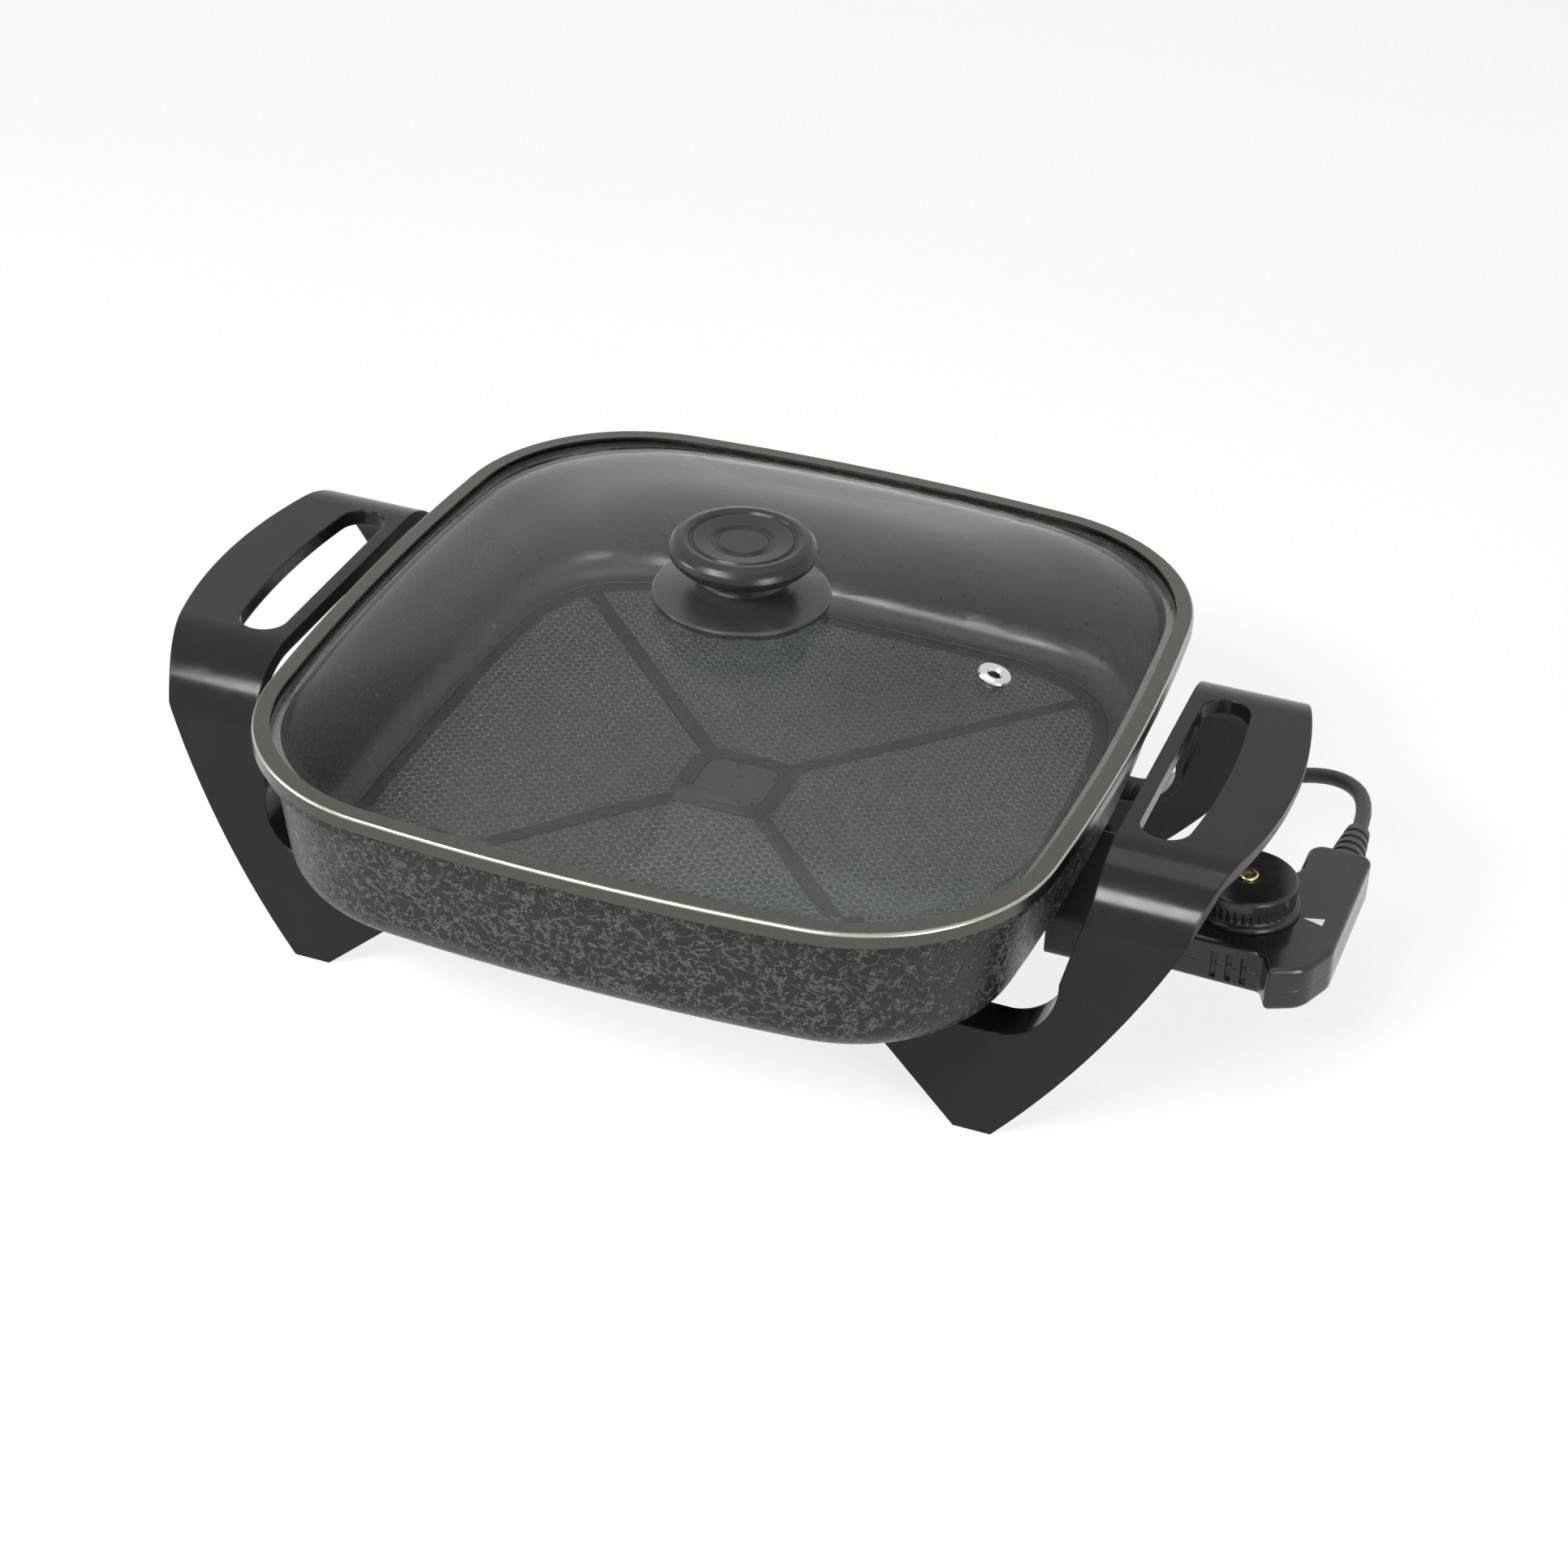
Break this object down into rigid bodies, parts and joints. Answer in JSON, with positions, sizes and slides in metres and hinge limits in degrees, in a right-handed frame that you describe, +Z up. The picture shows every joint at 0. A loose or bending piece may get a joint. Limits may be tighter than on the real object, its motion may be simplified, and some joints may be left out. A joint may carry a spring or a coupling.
{
  "type": "electric skillet",
  "caption": "Square electric frying pan with lift-off domed glass lid, arched side handles that form the feet, and a plug-in heat control with a dial and coiled cord.",
  "frame": {"origin": "on the table, midway between the left handle and the end of the control, in the middle of the pan's depth", "axes": "+Z up, +X from the left handle to the control, -Y to the front"},
  "size_m": [0.4394, 0.4179, 0.1572],
  "materials": {
    "coated_pan": "satin",
    "element_sheath": "satin",
    "white_ceramic": "satin",
    "pin_steel": "satin",
    "guard_plastic": "satin",
    "black_phenolic": "gloss",
    "screw_steel": "satin",
    "lid_glass": "gloss",
    "ring_steel": "satin",
    "eyelet_steel": "gloss",
    "silicone": "matte",
    "control_plastic": "gloss",
    "contact_brass": "satin",
    "white_mark": "matte",
    "dial_plastic": "gloss",
    "screw_brass": "satin",
    "cord_rubber": "satin"
  },
  "bodies": {
    "root": {"pan": "coated_pan", "heating_element": "element_sheath", "terminal_insulators": "white_ceramic", "terminal_pins": "pin_steel", "terminal_guard": "guard_plastic", "right_handle": "black_phenolic", "left_handle": "black_phenolic", "handle_screws": "screw_steel"},
    "lid": {"lid_glass": "lid_glass", "lid_ring": "ring_steel", "vent_eyelet": "eyelet_steel", "knob_skirt": "black_phenolic", "knob_cap": "black_phenolic", "knob_screw": "screw_steel", "knob_washer": "silicone"},
    "control": {"control_top": "control_plastic", "control_base": "control_plastic", "control_screws": "screw_steel", "probe_tube": "pin_steel", "sensing_rod": "pin_steel", "pin_sockets": "contact_brass", "thermostat_block": "white_ceramic", "thermostat_blade": "contact_brass", "pointer_mark": "white_mark", "strain_relief": "cord_rubber", "power_cord": "cord_rubber", "cord_coil": "cord_rubber", "cord_tail": "cord_rubber", "plug_body": "cord_rubber", "plug_pins": "contact_brass"},
    "dial": {"dial_knob": "dial_plastic", "dial_shaft": "pin_steel", "dial_screw": "screw_brass"}
  },
  "joints": [
    {"name": "lid_lift", "type": "slide", "parent": "root", "child": "lid", "axis": [0, 0, 1], "range_m": [0, 0.2]},
    {"name": "control_pull", "type": "slide", "parent": "root", "child": "control", "axis": [1, 0, 0], "range_m": [0, 0.085]},
    {"name": "dial_turn", "type": "hinge", "parent": "control", "child": "dial", "pos_m": [0.18335, 0, 0.053], "axis": [0, 0, 1], "range_deg": [0, 290]}
  ]
}
